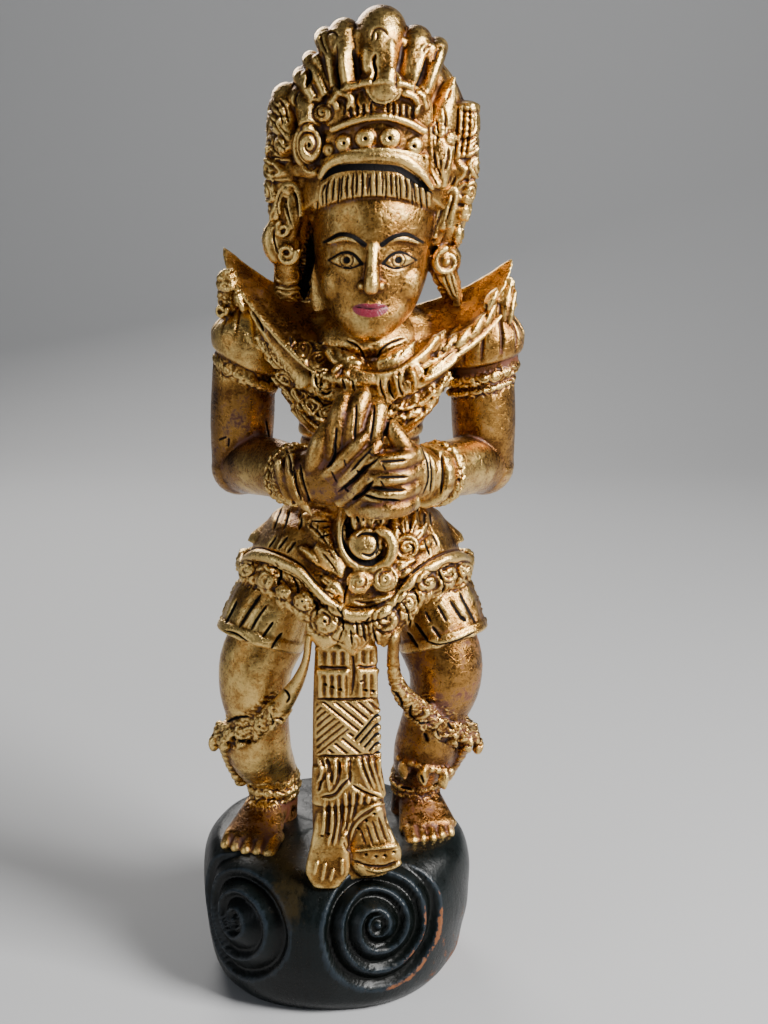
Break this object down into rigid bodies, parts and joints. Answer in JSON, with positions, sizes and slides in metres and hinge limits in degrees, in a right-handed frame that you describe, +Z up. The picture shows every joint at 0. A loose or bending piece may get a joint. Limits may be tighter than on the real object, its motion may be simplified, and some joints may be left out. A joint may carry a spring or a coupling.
{
  "type": "figure",
  "caption": "Standing gilded wooden court figure with a tall crown and clasped hands, carved in one piece with its dark rock base.",
  "frame": {"origin": "middle of the rock's flat underside", "axes": "+Z up, the figure faces -Y, +X is to the right as seen from the front"},
  "size_m": [0.1341, 0.1179, 0.4006],
  "materials": {
    "gilded_wood": "gold leaf over a red-brown ground, worn; the rock is painted green-black"
  },
  "bodies": {
    "root": {"carved_figure": "gilded_wood"}
  },
  "joints": []
}
